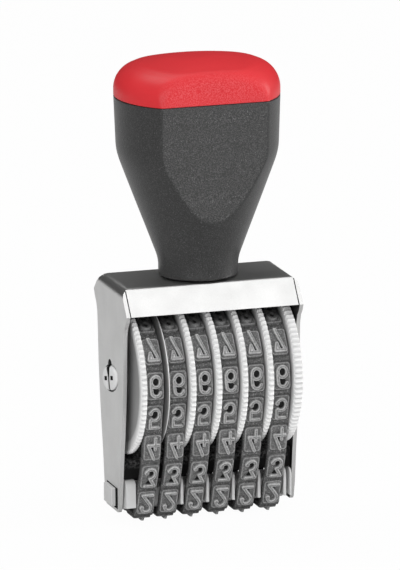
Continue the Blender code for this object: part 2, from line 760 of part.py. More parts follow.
def build_screw():
    washer = ring(washer_radius, screw_bore_radius, washer_thickness, turned_steps,
                  Matrix.Translation((0, 0, underside - clearance - washer_thickness / 2)))
    add_part("handle_washer", washer, screw_steel)
    head_top = underside - 2 * clearance - washer_thickness
    head_foot = head_top - screw_head_thickness
    profile = [(0, head_top + screw_length), (screw_radius, head_top + screw_length), (screw_radius, head_top),
               (screw_head_radius, head_top), (screw_head_radius, head_foot), (0, head_foot)]
    slot = box(-screw_head_radius - overrun, screw_head_radius + overrun, -screw_slot_width / 2,
               screw_slot_width / 2, head_foot - overrun, head_foot + screw_slot_depth)
    add_part("handle_screw", combined(turned(profile, turned_steps), slot, "DIFFERENCE"), screw_steel)


clear_scene()
stamp = bpy.data.collections.new("band_numbering_stamp")
bpy.context.scene.collection.children.link(stamp)

plated_steel = material("plated_steel", (0.62, 0.62, 0.61), 0.18, 1.0)
screw_steel = material("screw_steel", (0.45, 0.45, 0.44), 0.35, 1.0)
white_plastic = material("white_plastic", (0.78, 0.78, 0.76), 0.35)
separator_plastic = material("separator_plastic", (0.74, 0.74, 0.72), 0.3)
washer_nylon = material("washer_nylon", (0.7, 0.7, 0.68), 0.4)
bridge_plastic = material("bridge_plastic", (0.55, 0.55, 0.54), 0.4)
band_rubber = material("band_rubber", (0.13, 0.13, 0.14), 0.6)
black_plastic = material("black_plastic", (0.035, 0.035, 0.038), 0.45)
red_plastic = material("red_plastic", (0.62, 0.03, 0.035), 0.35)

build_frame()
build_axle()
build_wheels()
build_bridge()
build_guide()
build_screw()
build_handle()
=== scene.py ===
# Studio scene of a band numbering stamp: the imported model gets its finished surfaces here.
# Lengths are written in millimetres and turned into metres with mm.
import math
from math import pi, radians

import bmesh
import bpy
import numpy as np
from mathutils import Matrix, Vector


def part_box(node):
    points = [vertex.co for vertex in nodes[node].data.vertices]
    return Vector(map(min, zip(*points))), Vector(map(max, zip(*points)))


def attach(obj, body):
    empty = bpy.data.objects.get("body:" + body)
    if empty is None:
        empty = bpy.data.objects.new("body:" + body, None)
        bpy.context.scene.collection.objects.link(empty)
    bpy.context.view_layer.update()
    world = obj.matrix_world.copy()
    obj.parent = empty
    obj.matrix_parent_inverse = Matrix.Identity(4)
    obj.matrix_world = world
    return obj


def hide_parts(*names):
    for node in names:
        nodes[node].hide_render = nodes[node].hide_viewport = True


mm = 0.001
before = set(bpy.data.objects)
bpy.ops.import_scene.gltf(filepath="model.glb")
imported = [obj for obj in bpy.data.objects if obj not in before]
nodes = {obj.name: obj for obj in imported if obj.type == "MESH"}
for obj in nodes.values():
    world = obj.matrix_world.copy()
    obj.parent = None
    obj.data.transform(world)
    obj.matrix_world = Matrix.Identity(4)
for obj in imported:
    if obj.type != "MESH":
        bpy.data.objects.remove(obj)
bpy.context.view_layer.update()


def lowHigh(node):
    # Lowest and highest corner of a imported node, as plain arrays
    low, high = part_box(node)
    return np.array(low), np.array(high)


plateLow, plateHigh = lowHigh("steel_frame")
axleLevel = sum(lowHigh("number_wheel_2"))[2] / 2
# The joint of handle and cap lies midway between the solid's and the height measured in the photo
handleHeight = 36.73 * mm
handleFoot = lowHigh("handle_body")[0][2]
jointLevel = (lowHigh("handle_body")[1][2] + handleFoot + handleHeight) / 2
capTop = lowHigh("handle_cap")[1][2]
bandPlaces = [float(sum(lowHigh(f"number_band_{number}"))[0] / 2) for number in range(1, 7)]
print("frame loaded")


class Signal:
    # Wraps a socket of a material's node tree, so that arithmetic on it adds Math nodes
    def __init__(self, tree, socket):
        self.tree = tree
        self.socket = socket

    def node(self, kind, values=None, output=0, **settings):
        # A new node: the values go to its sockets, by name or number, and the settings to its properties
        made = self.tree.nodes.new("ShaderNode" + kind)
        for name, value in settings.items():
            setattr(made, name, value)
        for name, value in (values or {}).items():
            socket = made.inputs[name]
            if isinstance(value, Signal):
                self.tree.links.new(value.socket, socket)
            else:
                socket.default_value = value
        return Signal(self.tree, made.outputs[output])

    def maths(self, operation, first, second=0.0):
        return self.node("Math", {0: first, 1: second}, operation=operation)

    def __add__(self, other):
        return self.maths("ADD", self, other)

    __radd__ = __add__

    def __rsub__(self, other):
        return self.maths("SUBTRACT", other, self)

    def __mul__(self, other):
        return self.maths("MULTIPLY", self, other)

    def place(self):
        return self.node("TexCoord", output=3)

    def axis(self, number):
        # One of the three object coordinates
        return self.node("SeparateXYZ", {0: self.place()}, output=number)

    def noise(self, size, detail=3.0, roughness=0.5, squeeze=(1, 1, 1)):
        # Noise about 0 to 1 whose grains are about size metres across, drawn out along an axis by a small squeeze
        place = self.node("Mapping", {"Vector": self.place(), "Scale": squeeze})
        return self.node("TexNoise", {"Vector": place, "Scale": 1 / size, "Detail": detail,
                                                "Roughness": roughness})

    def stepped(self, low, high):
        # 0 below low and 1 above high
        return self.node("MapRange", {"Value": self, "From Min": low, "From Max": high})

    def blend(self, first, second):
        # From the first colour to the second as this value goes from 0 to 1
        return self.node("Mix", {0: self, 6: first, 7: second}, output=2, data_type="RGBA")

    def attribute(self, name):
        return self.node("Attribute", output=2, attribute_name=name)


def grey(level):
    return (level, level, level, 1)


def shade(level, tint=(1, 1, 1)):
    # A linear colour from a display grey of 0 to 255 and a tint
    grey = level / 255
    linear = grey / 12.92 if grey < 0.04045 else ((grey + 0.055) / 1.055) ** 2.4
    return (linear * tint[0], linear * tint[1], linear * tint[2], 1.0)


def newFinish(name, metallic=0.0, **constants):
    # A material with its shader, and a signal to build its pattern with
    made = bpy.data.materials.new(name)
    made.use_nodes = True
    shader = made.node_tree.nodes["Principled BSDF"]
    shader.inputs["Metallic"].default_value = metallic
    for socket, value in constants.items():
        shader.inputs[socket.replace("_", " ")].default_value = value
    return made, shader, Signal(made.node_tree, None)


def wire(signal, shader, socket):
    signal.tree.links.new(signal.socket, shader.inputs[socket])


def wireOutput(signal, output="Material Output"):
    wire(signal, signal.tree.nodes[output], "Surface")


def dress(shader, colour, roughness, relief, height, strength):
    # The relief has the given height in metres where its signal is 1
    wire(colour, shader, "Base Color")
    wire(roughness, shader, "Roughness")
    wire(relief.node("Bump", {"Height": relief, "Distance": height, "Strength": strength}), shader, "Normal")


blackPlastic = {"side": 39, "flat": 53, "speck": 96, "glint": 150, "cloudDrop": 8,
                "grain": 0.24 * mm, "cloud": 7 * mm}


def blackFinish():
    # Satin moulded sides, and a spark-eroded grain on the flats whose light is painted as specks and glints
    look = blackPlastic
    made, shader, start = newFinish("blackPlastic", Specular_IOR_Level=0.38)
    flat = start.attribute("grained")
    fine = start.noise(look["grain"], 2.0, 0.6)
    # Painted highlights: light specks and glints on the grain, most of them on the flats
    specks = fine.stepped(0.46, 0.62) * (flat * 0.65 + 0.35)
    glints = start.noise(look["grain"] * 0.8, 1.0, 0.4).stepped(0.66, 0.74) * (flat * 0.5 + 0.5)
    cloud = start.noise(look["cloud"], 3.0).stepped(0.3, 0.7)
    base = flat.blend(shade(look["side"]), shade(look["flat"]))
    base = (cloud * 0.25).blend(base, shade(look["flat"] - look["cloudDrop"]))
    base = (specks * 0.6).blend(base, shade(look["speck"]))
    base = (glints * 0.5).blend(base, shade(look["glint"]))
    dress(shader, base, 0.3 + flat * 0.16 + fine * 0.06, fine * (flat * 0.5 + 0.5), 0.09 * mm, 1.0)
    return made


redPlastic = {"tint": (0.66, 0.026, 0.033, 1), "pale": (0.74, 0.11, 0.12, 1), "deep": (0.52, 0.018, 0.024, 1)}


def redFinish():
    # Satin cap, with the same grain as the handle on its flats, whose light is painted as pale specks
    look = redPlastic
    made, shader, start = newFinish("redPlastic", Specular_IOR_Level=0.25)
    flat = start.attribute("grained")
    fine = start.noise(blackPlastic["grain"], 2.0, 0.6)
    cloud = start.noise(blackPlastic["cloud"], 3.0).stepped(0.3, 0.7)
    base = (cloud * 0.3).blend(look["tint"], look["deep"])
    # Painted highlights: pale specks on the grain of the flats
    base = (flat * fine.stepped(0.42, 0.68) * 0.8).blend(base, look["pale"])
    dress(shader, base, 0.36 + flat * 0.12 + fine * 0.05, fine * (flat * 0.7 + 0.3), 0.06 * mm, 0.8)
    return made


platedSteel = {"tint": (0.72, 0.72, 0.715, 1), "dull": (0.5, 0.5, 0.495, 1), "inner": (0.07, 0.07, 0.07, 1),
               "roughness": 0.26}


def steelFinish():
    # Nickel plating over rolled sheet: faint rolling lines, fine pitting and cloudy gloss, and a rougher inner
    # side with painted shade that makes it near black
    look = platedSteel
    made, shader, start = newFinish("platedSteel", 1.0)
    rolled = start.noise(0.12 * mm, 3.0, 0.6, (1, 1, 0.06))
    pitted = start.noise(0.1 * mm, 2.0, 0.7)
    cloud = start.noise(6 * mm, 4.0).stepped(0.3, 0.7)
    inside = start.attribute("inside")
    base = (cloud * 0.2 + pitted.stepped(0.35, 0.7) * 0.45).blend(look["tint"], look["dull"])
    # Painted shade: faces toward the middle of the frame are near black
    base = inside.blend(base, look["inner"])
    rough = look["roughness"] + cloud * 0.04 + pitted * 0.1 + inside * 0.25
    dress(shader, base, rough, rolled * 0.3 + pitted * 0.7, 0.012 * mm, 0.5)
    return made


zincSteel = {"bright": (0.5, 0.5, 0.48, 1), "dull": (0.38, 0.38, 0.37, 1)}


def zincFinish():
    # Plain zinc on the handle's screw and washer
    look = zincSteel
    made, shader, start = newFinish("zincSteel", 1.0)
    cloud = start.noise(1.5 * mm, 4.0).stepped(0.3, 0.7)
    fine = start.noise(0.08 * mm, 2.0)
    base = cloud.blend(look["bright"], look["dull"])
    dress(shader, base, 0.35 + cloud * 0.1 + fine * 0.1, fine, 0.004 * mm, 0.4)
    return made


palePlastic = {"cloud": 5 * mm, "grain": 0.12 * mm, "cloudDrop": 7, "dustDrop": 22, "windowShade": 8,
               "shutEdge": 0.05 * mm}


def paleFinish(name, level, dusty, roughness, dim=None, windowShade=None):
    # Pale moulded plastic with a little cloud, mould grain and handling dust. Dim is the level where the attribute
    # bright is 0; bright paints shade on the wheels' sides and a highlight on the thin disc's rim. The last
    # argument gives the two distances to the sides between which painted shade lies in the dark of a window
    look = palePlastic
    made, shader, start = newFinish(name, Specular_IOR_Level=0.45)
    cloud = start.noise(look["cloud"], 3.0).stepped(0.3, 0.7)
    fine = start.noise(look["grain"], 2.0, 0.6)
    base = (cloud * 0.4).blend(shade(level), shade(level - look["cloudDrop"], (1, 1, 0.985)))
    base = (fine.stepped(0.6, 0.75) * dusty).blend(base, shade(level - look["dustDrop"]))
    # Painted light and shade from the attribute bright, down to the dim level
    if dim is not None:
        base = start.attribute("bright").stepped(0, 1).blend(shade(dim), base)
    # Painted shade of a window, between two distances to the sides
    if windowShade is not None:
        across = start.axis(0)
        aside = across.maths("ABSOLUTE", across)
        edge = look["shutEdge"]
        dark = aside.stepped(windowShade[0], windowShade[0] + edge) * (1 - aside.stepped(windowShade[1] - edge, windowShade[1]))
        base = dark.blend(base, shade(look["windowShade"]))
    dress(shader, base, roughness + cloud * 0.06 + fine * 0.08, fine, 0.01 * mm, 0.3)
    return made


bandRubber = {"belt": 106, "pad": 122, "figure": 152, "edge": 210, "shadowTone": 16, "speck": 42, "patch": 52,
              "grain": 0.16 * mm}


def rubberFinish():
    # Moulded rubber, lighter from belt to pad to figure: painted highlights on the edges of the figures and pads,
    # and painted shade, very dark where the strokes close a space in
    look = bandRubber
    made, shader, start = newFinish("bandRubber", Specular_IOR_Level=0.3)
    lift = start.attribute("lift")
    edge = start.attribute("edge")
    hollow = start.attribute("hollow")
    fine = start.noise(look["grain"], 3.0, 0.65)
    blotches = start.noise(0.6 * mm, 3.0, 0.6).stepped(0.3, 0.65)
    patchy = start.noise(0.45 * mm, 2.0, 0.6).stepped(0.45, 0.6)
    flecks = start.noise(0.3 * mm, 1.0, 0.5).stepped(0.58, 0.68)
    base = lift.stepped(0.1, 0.45).blend(shade(look["belt"]), shade(look["pad"]))
    base = lift.stepped(0.6, 0.95).blend(base, shade(look["figure"]))
    base = (fine.stepped(0.42, 0.68) * 0.4).blend(base, shade(look["speck"]))
    base = (patchy * 0.42).blend(base, shade(look["patch"]))
    base = (flecks * 0.3).blend(base, shade(look["edge"]))
    # Painted highlights along the rims of the figures and pads, patchy
    base = (edge * (0.45 + blotches * 0.55)).stepped(0, 1).blend(base, shade(look["edge"]))
    # Painted shade where strokes close a space in, at the feet of strokes, at the pads' sides, on the band's sides
    # and inner face and high up under the skirt
    base = hollow.stepped(0, 1).blend(base, shade(look["shadowTone"]))
    dress(shader, base, 0.55 + fine * 0.2, fine + blotches * 0.5, 0.03 * mm, 0.6)
    return made


guidePlastic = {"deep": 8, "pale": 22, "blotches": 84, "blotchesFrom": 11.3 * mm, "blotchesTo": 12.0 * mm}


def guideFinish():
    # Near-black plastic, with lighter spots on its upper part
    look = guidePlastic
    made, shader, start = newFinish("guidePlastic", Specular_IOR_Level=0.15)
    fine = start.noise(0.3 * mm, 3.0)
    high = start.axis(2).stepped(look["blotchesFrom"], look["blotchesTo"])
    blotches = start.noise(0.5 * mm, 2.0).stepped(0.42, 0.62) * high
    base = fine.blend(shade(look["deep"]), shade(look["pale"]))
    base = (blotches * 0.8).blend(base, shade(look["blotches"]))
    dress(shader, base, 0.6 + fine * 0.2, fine, 0.01 * mm, 0.3)
    return made


axlePlastic = {"pale": 228, "soiled": 208, "sunk": 6}


def axleFinish():
    # Pale plastic, with painted shade that makes it dark in the split and the pockets of the snap head
    look = axlePlastic
    made, shader, start = newFinish("axlePlastic", Specular_IOR_Level=0.4)
    fine = start.noise(0.12 * mm, 2.0, 0.6)
    sunk = start.attribute("deep").stepped(0.01, 0.1)
    base = (fine * 0.4).blend(shade(look["pale"]), shade(look["soiled"]))
    base = sunk.blend(base, shade(look["sunk"]))
    dress(shader, base, 0.36 + fine * 0.1, fine, 0.01 * mm, 0.3)
    return made


# Painted shade: the comb is dark from its lug's inner end to the plate's outer side, where the window's gap lies
# in shade
lugInnerEnd = 17.6 * mm
guidePlasticFinish = guideFinish()
axlePlasticFinish = axleFinish()
wheelPlasticFinish = paleFinish("wheelPlastic", 240, dusty=0.12, roughness=0.34, dim=128)
discFinish = paleFinish("discPlastic", 236, dusty=0.12, roughness=0.24, dim=96)
nylonFinish = paleFinish("washerNylon", 214, dusty=0.1, roughness=0.4)
combFinish = paleFinish("combPlastic", 206, dusty=0.25, roughness=0.42, windowShade=(lugInnerEnd, plateHigh[0]))
blackPlasticFinish = blackFinish()
redPlasticFinish = redFinish()
steelSheetFinish = steelFinish()
zincSteelFinish = zincFinish()
rubberBandFinish = rubberFinish()
print("materials made")


def gridMesh(name, points, wrapRows=False, wrapColumns=True, sharp=None, **values):
    # Quads over a grid of points. Rows and columns may close on themselves, and a row at one point is a pole.
    # Edges are sharp from an angle on, and the values become attributes of the points
    rows, columns = points.shape[:2]
    row, column = np.meshgrid(np.arange(rows if wrapRows else rows - 1),
                              np.arange(columns if wrapColumns else columns - 1), indexing="ij")
    nextRow = (row + 1) % rows
    nextColumn = (column + 1) % columns
    quads = np.stack([row * columns + column, row * columns + nextColumn,
                      nextRow * columns + nextColumn, nextRow * columns + column], -1).reshape(-1, 4)
    mesh = bpy.data.meshes.new(name)
    mesh.vertices.add(rows * columns)
    mesh.vertices.foreach_set("co", np.ascontiguousarray(points, dtype=np.float32).ravel())
    mesh.loops.add(quads.size)
    mesh.loops.foreach_set("vertex_index", quads.astype(np.int32).ravel())
    mesh.polygons.add(len(quads))
    mesh.polygons.foreach_set("loop_start", np.arange(0, quads.size, 4, dtype=np.int32))
    for key, value in values.items():
        layer = mesh.attributes.new(key, "FLOAT", "POINT")
        layer.data.foreach_set("value", np.ascontiguousarray(value, dtype=np.float32).ravel())
    mesh.update(calc_edges=True)
    shape = bmesh.new()
    shape.from_mesh(mesh)
    bmesh.ops.remove_doubles(shape, verts=shape.verts, dist=0.0005 * mm)
    bmesh.ops.recalc_face_normals(shape, faces=shape.faces)
    shape.to_mesh(mesh)
    shape.free()
    mesh.shade_smooth()
    if sharp:
        mesh.set_sharp_from_angle(angle=sharp)
    return mesh


def addObject(name, data):
    made = bpy.data.objects.new(name, data)
    bpy.context.scene.collection.objects.link(made)
    return made


def addPiece(name, mesh, finish, body, slot, *replaced):
    made = addObject(name, mesh)
    mesh.materials.clear()
    mesh.materials.append(finish)
    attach(made, body)
    if replaced:
        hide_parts(*replaced)
    return made


def fullTurn(count):
    return np.linspace(0, 2 * pi, count, endpoint=False)


def smoothed(values, count):
    # Running mean of a table, twice, with its ends held
    kernel = np.ones(count) / count
    for _ in range(2):
        padded = np.pad(values, count // 2, mode="edge")
        values = np.convolve(padded, kernel, mode="valid")[:len(values)]
    return values


def softMinimum(first, second, sharpness):
    # The smaller of two positive arrays, with the crossing rounded: (a^-n + b^-n)^(-1/n)
    scale = np.minimum(first, second)
    return scale * ((first / scale) ** -sharpness + (second / scale) ** -sharpness) ** (-1 / sharpness)


handle = {"radius": 16.65 * mm, "neckRadius": 8.0 * mm, "facetDepth": 12.5 * mm, "facetLean": radians(2.6),
          "edgeSharpness": 90, "footRound": 0.5 * mm, "lipRound": 0.16 * mm, "jointGap": 0.1 * mm,
          "heights": (0.0, 0.07, 0.11, 0.145, 0.265, 0.415, 0.64, 0.68, 0.72, 1.0),
          "growths": (0.0, 0.0, 0.035, 0.09, 0.28, 0.522, 0.878, 0.93, 0.957, 1.0),
          "samples": 401, "smoothing": 13, "crowdedShares": (0.36, 0.6), "crowdedAngle": 0.06,
          "grainEdge": 0.2 * mm, "bendSteps": 7, "around": 288, "along": 150}


def sideRadius(height):
    # Radius of the handle's round side at a height above its foot: the table's lines with soft bends
    samples = np.linspace(0, 1, handle["samples"])
    growth = smoothed(np.interp(samples, handle["heights"], handle["growths"]), handle["smoothing"])
    growth = np.interp(height / handleHeight, samples, growth)
    return handle["neckRadius"] + growth * (handle["radius"] - handle["neckRadius"])


def turnsRound(count, radius, depth):
    # Angles round the handle, crowded where the flats meet the sides at asin(depth / radius)
    edge = math.asin(min(1.0, depth / radius))
    share = np.linspace(0, 1, count // 4, endpoint=False)
    quarter = np.interp(share, (0, *handle["crowdedShares"], 1),
                        (0, edge - handle["crowdedAngle"], edge + handle["crowdedAngle"], pi / 2))
    return np.concatenate([quarter, pi - quarter[::-1], pi + quarter, 2 * pi - quarter[::-1]])


def handleMesh():
    # A turned side cut by two leaning flats. In plan each level is the smaller of the round radius and the
    # flat's depth / |sin|, less an inset that rounds the foot and the lip at the joint
    size = handle
    top = jointLevel - size["jointGap"] / 2
    foot = size["footRound"]
    lip = size["lipRound"]
    bend = np.linspace(0, pi / 2, size["bendSteps"])
    levels = np.concatenate([[handleFoot], handleFoot + foot * (1 - np.cos(bend)),
                             np.linspace(handleFoot + foot, top - lip, size["along"])[1:-1],
                             top - lip * (1 - np.sin(bend)), [top]])
    # An inset of the whole radius closes each end at a pole
    insets = np.concatenate([[size["radius"]], foot * (1 - np.sin(bend)), np.zeros(size["along"] - 2),
                             lip * (1 - np.cos(bend)), [size["radius"]]])
    around = turnsRound(size["around"], size["radius"], size["facetDepth"])
    level, turn = np.meshgrid(levels, around, indexing="ij")
    side = sideRadius(level - handleFoot)
    depth = size["facetDepth"] - (jointLevel - level) * math.tan(size["facetLean"])
    # The sine is kept off zero
    flat = depth / np.maximum(np.abs(np.sin(turn)), 1e-3)
    radius = softMinimum(side, flat, size["edgeSharpness"])
    radius = np.maximum(radius - insets[:, None], 0)
    points = np.stack([radius * np.cos(turn), radius * np.sin(turn), level], -1)
    grained = np.clip((side - flat) / size["grainEdge"], 0, 1)
    return gridMesh("handleShell", points, grained=grained)


addPiece("handle_shell", handleMesh(), blackPlasticFinish, "frame", "black_plastic", "handle_body")

cap = {"edgeRadius": 5.2 * mm, "crown": 0.8 * mm, "crownEnd": 1.3, "fall": 0.8 * mm, "bow": 25 * mm,
       "blend": 0.35 * mm, "topBlend": 1.5 * mm, "blendRise": 5.5 * mm, "reach": 30 * mm, "halvings": 36,
       "crowding": 1.1, "bendSteps": 6, "around": 288, "along": 110}


def capMesh():
    # The dome, which falls more to the front and rear, and the two bowed flats are each a distance field. A smooth
    # maximum that grows softer upwards joins them. The surface is where rays from a point inside reach zero,
    # found by halving steps
    size = cap
    foot = jointLevel + handle["jointGap"] / 2
    middle = np.array([0, 0, foot])
    flatRadius = handle["radius"] - size["edgeRadius"]

    def field(x, y, z):
        across = np.hypot(x, y)
        crown = capTop - size["crown"] * np.minimum((across / flatRadius) ** 2, size["crownEnd"])
        crown = crown - size["fall"] * (y / handle["facetDepth"]) ** 2
        outX = across - flatRadius
        outZ = z - (crown - size["edgeRadius"])
        dome = np.hypot(np.maximum(outX, 0), np.maximum(outZ, 0)) + np.minimum(np.maximum(outX, outZ), 0)
        dome = dome - size["edgeRadius"]
        flat = np.abs(y) - handle["facetDepth"] + (z - foot) ** 2 / (2 * size["bow"])
        soft = size["blend"] + size["topBlend"] * np.clip((z - foot) / size["blendRise"], 0, 1)
        mix = np.clip(0.5 + 0.5 * (dome - flat) / soft, 0, 1)
        return dome * mix + flat * (1 - mix) + soft * mix * (1 - mix), mix

    around = turnsRound(size["around"], handle["radius"], handle["facetDepth"])
    rise = pi / 2 * np.linspace(0, 1, size["along"]) ** size["crowding"]
    up, turn = np.meshgrid(rise, around, indexing="ij")
    ray = np.stack([np.cos(up) * np.cos(turn), np.cos(up) * np.sin(turn), np.sin(up)], -1)
    near = np.zeros(up.shape)
    far = np.full(up.shape, size["reach"])
    for _ in range(size["halvings"]):
        half = (near + far) / 2
        at = middle + ray * half[..., None]
        outside = field(at[..., 0], at[..., 1], at[..., 2])[0] > 0
        far = np.where(outside, half, far)
        near = np.where(outside, near, half)
    points = middle + ray * near[..., None]
    grained = 1 - field(points[..., 0], points[..., 1], points[..., 2])[1]
    # A small round under the lip, then flat to the middle
    lip = handle["lipRound"]
    bend = np.linspace(0, pi / 2, size["bendSteps"])[:-1]
    first = points[0]
    plan = first[:, :2] / np.linalg.norm(first[:, :2], axis=1)[:, None]
    ring = np.stack([np.concatenate([first[:, :2] - plan * lip * (1 - math.sin(a)),
                                     np.full((len(first), 1), foot + lip * (1 - math.cos(a)))], 1) for a in bend])
    points[..., 2] = np.maximum(points[..., 2], foot + lip)
    base = np.broadcast_to(middle, first.shape)[None]
    points = np.concatenate([base, ring, points])
    grained = np.concatenate([np.broadcast_to(grained[0], (1 + len(bend), len(first))), grained])
    return gridMesh("handleDome", points, grained=grained)


addPiece("handle_dome", capMesh(), redPlasticFinish, "frame", "red_plastic", "handle_cap")
print("handle made")


band = {"width": 3.96 * mm, "halfThickness": 0.4 * mm, "pitch": 6.6 * mm, "stations": 16, "advance": 0.9 * mm,
        "shoeFlat": 6.2 * mm, "corner": 1.7 * mm, "bow": 1.0 * mm, "wheelTeeth": 12, "padHeight": 0.45 * mm,
        "padWidth": 3.8 * mm, "padLength": 5.75 * mm, "padCorner": 0.8 * mm, "padSlope": 0.2 * mm,
        "figureHeight": 5.15 * mm, "figureWidth": 3.0 * mm, "relief": 0.7 * mm, "strokeTop": 0.27 * mm,
        "strokeFoot": 0.43 * mm, "beadRadius": 0.14 * mm, "hollowReach": 1.3 * mm, "ribHeight": 0.6 * mm,
        "ribFoot": 1.3 * mm, "ribTip": 0.8 * mm, "outerInset": 0.05 * mm, "innerInset": 0.1 * mm,
        "sideHalf": 0.25 * mm, "innerColumns": 5, "skirtShadeFrom": 39.7 * mm, "skirtShadeTo": 41.8 * mm,
        "perStation": 96, "across": 53}
band["radius"] = band["wheelTeeth"] * band["pitch"] / (2 * pi)
band["loop"] = band["stations"] * band["pitch"]
band["shoeLevel"] = band["halfThickness"] + band["padHeight"] + band["relief"]
# The rim that the mould leaves round a pad: where it rises and ends, counted inwards, and the drop inside it.
# Edge and the value after it are the attributes' values there: a painted highlight on the rim and painted shade at
# the pad's side
padRim = {"rise": (0.1 * mm, 0.2 * mm), "end": (0.34 * mm, 0.46 * mm), "drop": 0.09 * mm,
          "dropSlope": (0.3 * mm, 0.45 * mm), "edge": 0.4, "hollow": 0.35, "hollowReach": (0.05 * mm, 0.3 * mm)}
# Shift and width of the bells of painted highlight along a stroke's rim and of painted shade at its foot, and the
# shares at which a place counts as closed in
strokeRim = {"edge": (0.02 * mm, 0.075 * mm), "foot": (-0.03 * mm, 0.09 * mm), "footShade": 0.35,
             "closed": (0.6, 0.85), "directions": 16, "reachSteps": 10}


def bandPath(distance):
    # Middle line of the band from the side: half the flat shoe, an arc, a bowed run up the front that is
    # straight + bow * sin^2, and the arc over the wheel; the rear half is its mirror. Gives point, along and out
    size = band
    flat = size["shoeFlat"] / 2
    rise = axleLevel - size["shoeLevel"] - size["corner"]
    span = math.hypot(flat, rise)
    grow = size["radius"] - size["corner"]
    slope = math.atan2(rise, -flat) - math.asin(grow / span)
    straight = math.sqrt(span ** 2 - grow ** 2)
    cornerEnd = flat + size["corner"] * slope
    runEnd = cornerEnd + straight + (pi * size["bow"]) ** 2 / (4 * straight)
    distance = np.mod(distance, size["loop"])
    rear = distance > size["loop"] / 2
    way = np.where(rear, size["loop"] - distance, distance)
    turn = np.clip((way - flat) / size["corner"], 0, slope)
    share = np.clip((way - cornerEnd) / (runEnd - cornerEnd), 0, 1)
    over = np.maximum(way - runEnd, 0) / size["radius"]
    onRun = (way > cornerEnd) & (way <= runEnd)
    bow = np.where(onRun, size["bow"] * np.sin(pi * share) ** 2, 0)
    bowTurn = np.arctan(size["bow"] * pi * np.sin(2 * pi * share) / straight)
    angle = turn + over - np.where(onRun, bowTurn, 0)
    y = (np.minimum(way, flat) + size["corner"] * np.sin(turn) + straight * share * math.cos(slope)
         + bow * math.sin(slope))
    z = (size["shoeLevel"] + size["corner"] * (1 - np.cos(turn)) + straight * share * math.sin(slope)
         - bow * math.cos(slope))
    y = np.where(over > 0, size["radius"] * np.sin(slope + over), y)
    z = np.where(over > 0, axleLevel - size["radius"] * np.cos(slope + over), z)
    side = np.where(rear, 1.0, -1.0)
    along = np.stack([side * np.cos(angle), np.sin(angle)], -1) * np.where(rear, -1.0, 1.0)[..., None]
    out = np.stack([side * np.sin(angle), -np.cos(angle)], -1)
    return np.stack([side * y, z], -1), along, out


def arc(x, y, acrossRadius, upRadius, start, end, steps=24):
    turn = np.radians(np.linspace(start, end, steps))
    return np.stack([x + acrossRadius * np.cos(turn), y + upRadius * np.sin(turn)], -1)


def line(*corners):
    return np.array(corners, float)


# Figures as strokes in shares: 1 across and 2 up from the middle are the edges of the figure's box
figures = {
    "0": [arc(0, 0, 0.82, 0.88, 0, 360, 40)],
    "1": [line((0.1, -0.95), (0.1, 0.92), (-0.6, 0.5))],
    "2": [np.concatenate([arc(0, 0.44, 0.8, 0.46, 175, -28), line((-0.78, -0.9), (0.85, -0.9))])],
    "3": [np.concatenate([line((-0.78, 0.9), (0.8, 0.9), (-0.02, 0.12)), arc(0.0, -0.4, 0.8, 0.5, 88, -160)])],
    "4": [line((0.2, 1.0), (-0.82, -0.3), (0.95, -0.3)), line((0.38, 0.1), (0.38, -0.95))],
    "5": [np.concatenate([line((0.72, 0.9), (-0.66, 0.9), (-0.7, 0.14)), arc(0, -0.36, 0.82, 0.54, 132, -165)])],
    "6": [arc(0, -0.4, 0.8, 0.48, 0, 360, 36),
          np.concatenate([line((-0.8, -0.4), (-0.79, 0.15)), arc(0.02, 0.4, 0.8, 0.5, 155, 20)])],
    "7": [line((-0.8, 0.86), (0.85, 0.88), (-0.42, -1.15)), line((-0.8, 0.86), (-0.42, 0.2), (-0.2, 0.7))],
    "8": [arc(0, 0.46, 0.68, 0.44, 0, 360, 32), arc(0, -0.44, 0.8, 0.47, 0, 360, 36)],
    "-": [line((-0.6, 0), (0.6, 0))],
    "/": [line((-0.75, -0.9), (0.75, 0.9))],
}
figures["9"] = [-stroke for stroke in figures["6"]]
# Soft patches of painted shade on top of what the strokes close in, as across, up, reach and how much darker
shadeMarks = {"2": (0.0, 0.4, 0.5, -0.7), "3": (0.15, 0.62, 0.3, 1.0), "5": (-0.1, 0.5, 0.5, -0.9)}
# Round beads at the ends of strokes
beads = {"2": [(-0.76, 0.42)], "3": [(-0.72, -0.56)], "5": [(-0.74, -0.55)]}
stationFigures = "1234567890-/"


def strokeDistance(x, y, figure):
    # Distance from each point to the nearest stroke of a figure, with the beads counted nearer
    strokeInset = band["strokeFoot"] * 0.7
    scale = np.array([band["figureWidth"] / 2 - strokeInset, band["figureHeight"] / 2 - strokeInset])
    point = np.stack([x, y], -1)[..., None, :]
    nearest = np.full(x.shape, np.inf)
    for stroke in figures[figure]:
        start = stroke[:-1] * scale
        step = stroke[1:] * scale - start
        share = np.clip(((point - start) * step).sum(-1) / np.maximum((step * step).sum(-1), 1e-12), 0, 1)
        nearest = np.minimum(nearest, np.linalg.norm(point - start - share[..., None] * step, axis=-1).min(-1))
    for bead in beads.get(figure, ()):
        fromBead = np.linalg.norm(point[..., 0, :] - np.array(bead) * scale, axis=-1)
        nearest = np.minimum(nearest, fromBead - band["beadRadius"])
    return nearest


def smoothStep(value, low, high):
    share = np.clip((value - low) / (high - low), 0, 1)
    return share * share * (3 - 2 * share)


def enclosure(stroke, stepX, stepY):
    # Share of the directions round each point in which it meets a stroke within hollowReach
    reach = band["hollowReach"]
    directions, steps = strokeRim["directions"], strokeRim["reachSteps"]
    margin = math.ceil(reach / min(stepX, stepY)) + 1
    wide = np.pad(stroke, margin)
    total = np.zeros(stroke.shape)
    for turn in fullTurn(directions):
        met = np.zeros(wide.shape)
        for distance in np.linspace(reach / steps, reach, steps):
            shift = (round(distance * math.sin(turn) / stepY), round(distance * math.cos(turn) / stepX))
            met = np.maximum(met, np.roll(wide, shift, (0, 1)))
        total += met[margin:-margin, margin:-margin]
    return total / directions


def bell(away, place, shape):
    # 1 at the place less the shift, and fading over the width to both sides
    shift, width = shape
    return np.exp(-((away - place + shift) / width) ** 2)


